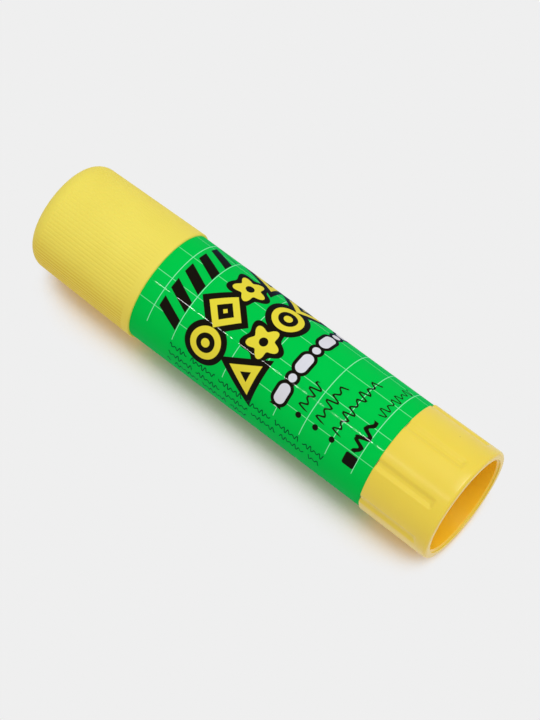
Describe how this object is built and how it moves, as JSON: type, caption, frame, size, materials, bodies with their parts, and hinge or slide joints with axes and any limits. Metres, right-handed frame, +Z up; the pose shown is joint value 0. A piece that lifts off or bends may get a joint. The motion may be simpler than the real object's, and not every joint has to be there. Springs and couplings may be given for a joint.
{
  "type": "glue stick",
  "caption": "Twist-up glue stick with a push-on ribbed cap, a labelled barrel and a fluted knob that winds the glue out of the neck.",
  "frame": {"origin": "centre of the bounding box's bottom: the floor point under the middle of the lying stick", "axes": "+X along the stick's axis from the cap to the knob, +Z up from the surface it lies on"},
  "size_m": [0.0888, 0.0218, 0.0218],
  "materials": {
    "cap_plastic": "matte, finely ribbed pale yellow polypropylene",
    "knob_plastic": "satin gloss warm yellow polypropylene",
    "barrel_plastic": "smooth natural white polypropylene",
    "inner_plastic": "natural white moulded plastic",
    "label_film": "glossy printed green film with a thin white grid",
    "glue": "smooth waxy off-white solid adhesive"
  },
  "bodies": {
    "barrel": {"barrel": "barrel_plastic", "label": "label_film"},
    "knob": {"knob": "knob_plastic", "spindle": "inner_plastic"},
    "piston": {"piston": "inner_plastic", "glue": "glue"},
    "cap": {"cap": "cap_plastic", "cap_liner": "inner_plastic"}
  },
  "joints": [
    {"name": "knob_spin", "type": "hinge", "parent": "barrel", "child": "knob", "pos_m": [0, 0, 0.01088], "axis": [-1, 0, 0], "range_deg": [0, 3600]},
    {"name": "piston_slide", "type": "slide", "parent": "barrel", "child": "piston", "axis": [-1, 0, 0], "range_m": [0, 0.05]},
    {"name": "cap_slide", "type": "slide", "parent": "piston", "child": "cap", "axis": [-1, 0, 0], "range_m": [0, 0.03]}
  ],
  "couplings": [
    {"joint": "piston_slide", "follows": "knob_spin", "m_per_rad": 0.00079577}
  ]
}
